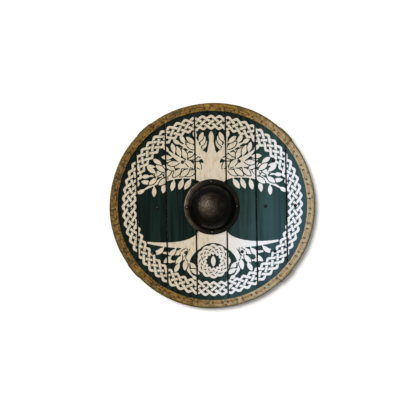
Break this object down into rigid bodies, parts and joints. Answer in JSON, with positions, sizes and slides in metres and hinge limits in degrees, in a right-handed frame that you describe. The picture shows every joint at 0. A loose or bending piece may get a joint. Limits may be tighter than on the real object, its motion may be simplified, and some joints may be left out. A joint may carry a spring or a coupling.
{
  "type": "wooden round shield",
  "caption": "Round plank shield with a domed iron boss over a hand hole, a laced leather rim, and battens and a grip bar behind.",
  "frame": {"origin": "on the surface that the shield lies on, under the middle of its rim, with the shield on its back", "axes": "+Z out of the painted face, +Y along the boards towards the top of the painting, +X to the right of the face"},
  "size_m": [0.7499, 0.7498, 0.1006],
  "materials": {
    "painted_boards": "dark green paint with a cream painted tree, worn semi-matt, over softwood",
    "rim_leather": "raw leather stained golden brown, blotched and waxed",
    "lace": "tan leather lace, waxed",
    "black_iron": "blackened spun iron, satin, with faint turning rings",
    "nails": "black forged heads",
    "bare_wood": "planed pine, oiled and handled"
  },
  "bodies": {
    "root": {"board_far_left": "painted_boards", "board_left": "painted_boards", "board_mid_left": "painted_boards", "board_middle_upper": "painted_boards", "board_middle_lower": "painted_boards", "board_mid_right": "painted_boards", "board_right": "painted_boards", "board_far_right": "painted_boards", "rim_right": "rim_leather", "rim_top": "rim_leather", "rim_left": "rim_leather", "rim_bottom": "rim_leather", "rim_lace": "lace", "boss": "black_iron", "nail_upper_1": "nails", "nail_upper_2": "nails", "nail_upper_3": "nails", "nail_upper_4": "nails", "nail_grip_1": "nails", "nail_grip_2": "nails", "nail_grip_3": "nails", "nail_grip_4": "nails", "nail_lower_1": "nails", "nail_lower_2": "nails", "nail_lower_3": "nails", "nail_lower_4": "nails", "boss_rivet_right": "nails", "boss_rivet_top": "nails", "boss_rivet_left": "nails", "boss_rivet_bottom": "nails", "rivet_washer_right": "nails", "rivet_washer_top": "nails", "rivet_washer_left": "nails", "rivet_washer_bottom": "nails", "batten_upper": "bare_wood", "batten_lower": "bare_wood", "grip_bar": "bare_wood"}
  },
  "joints": []
}
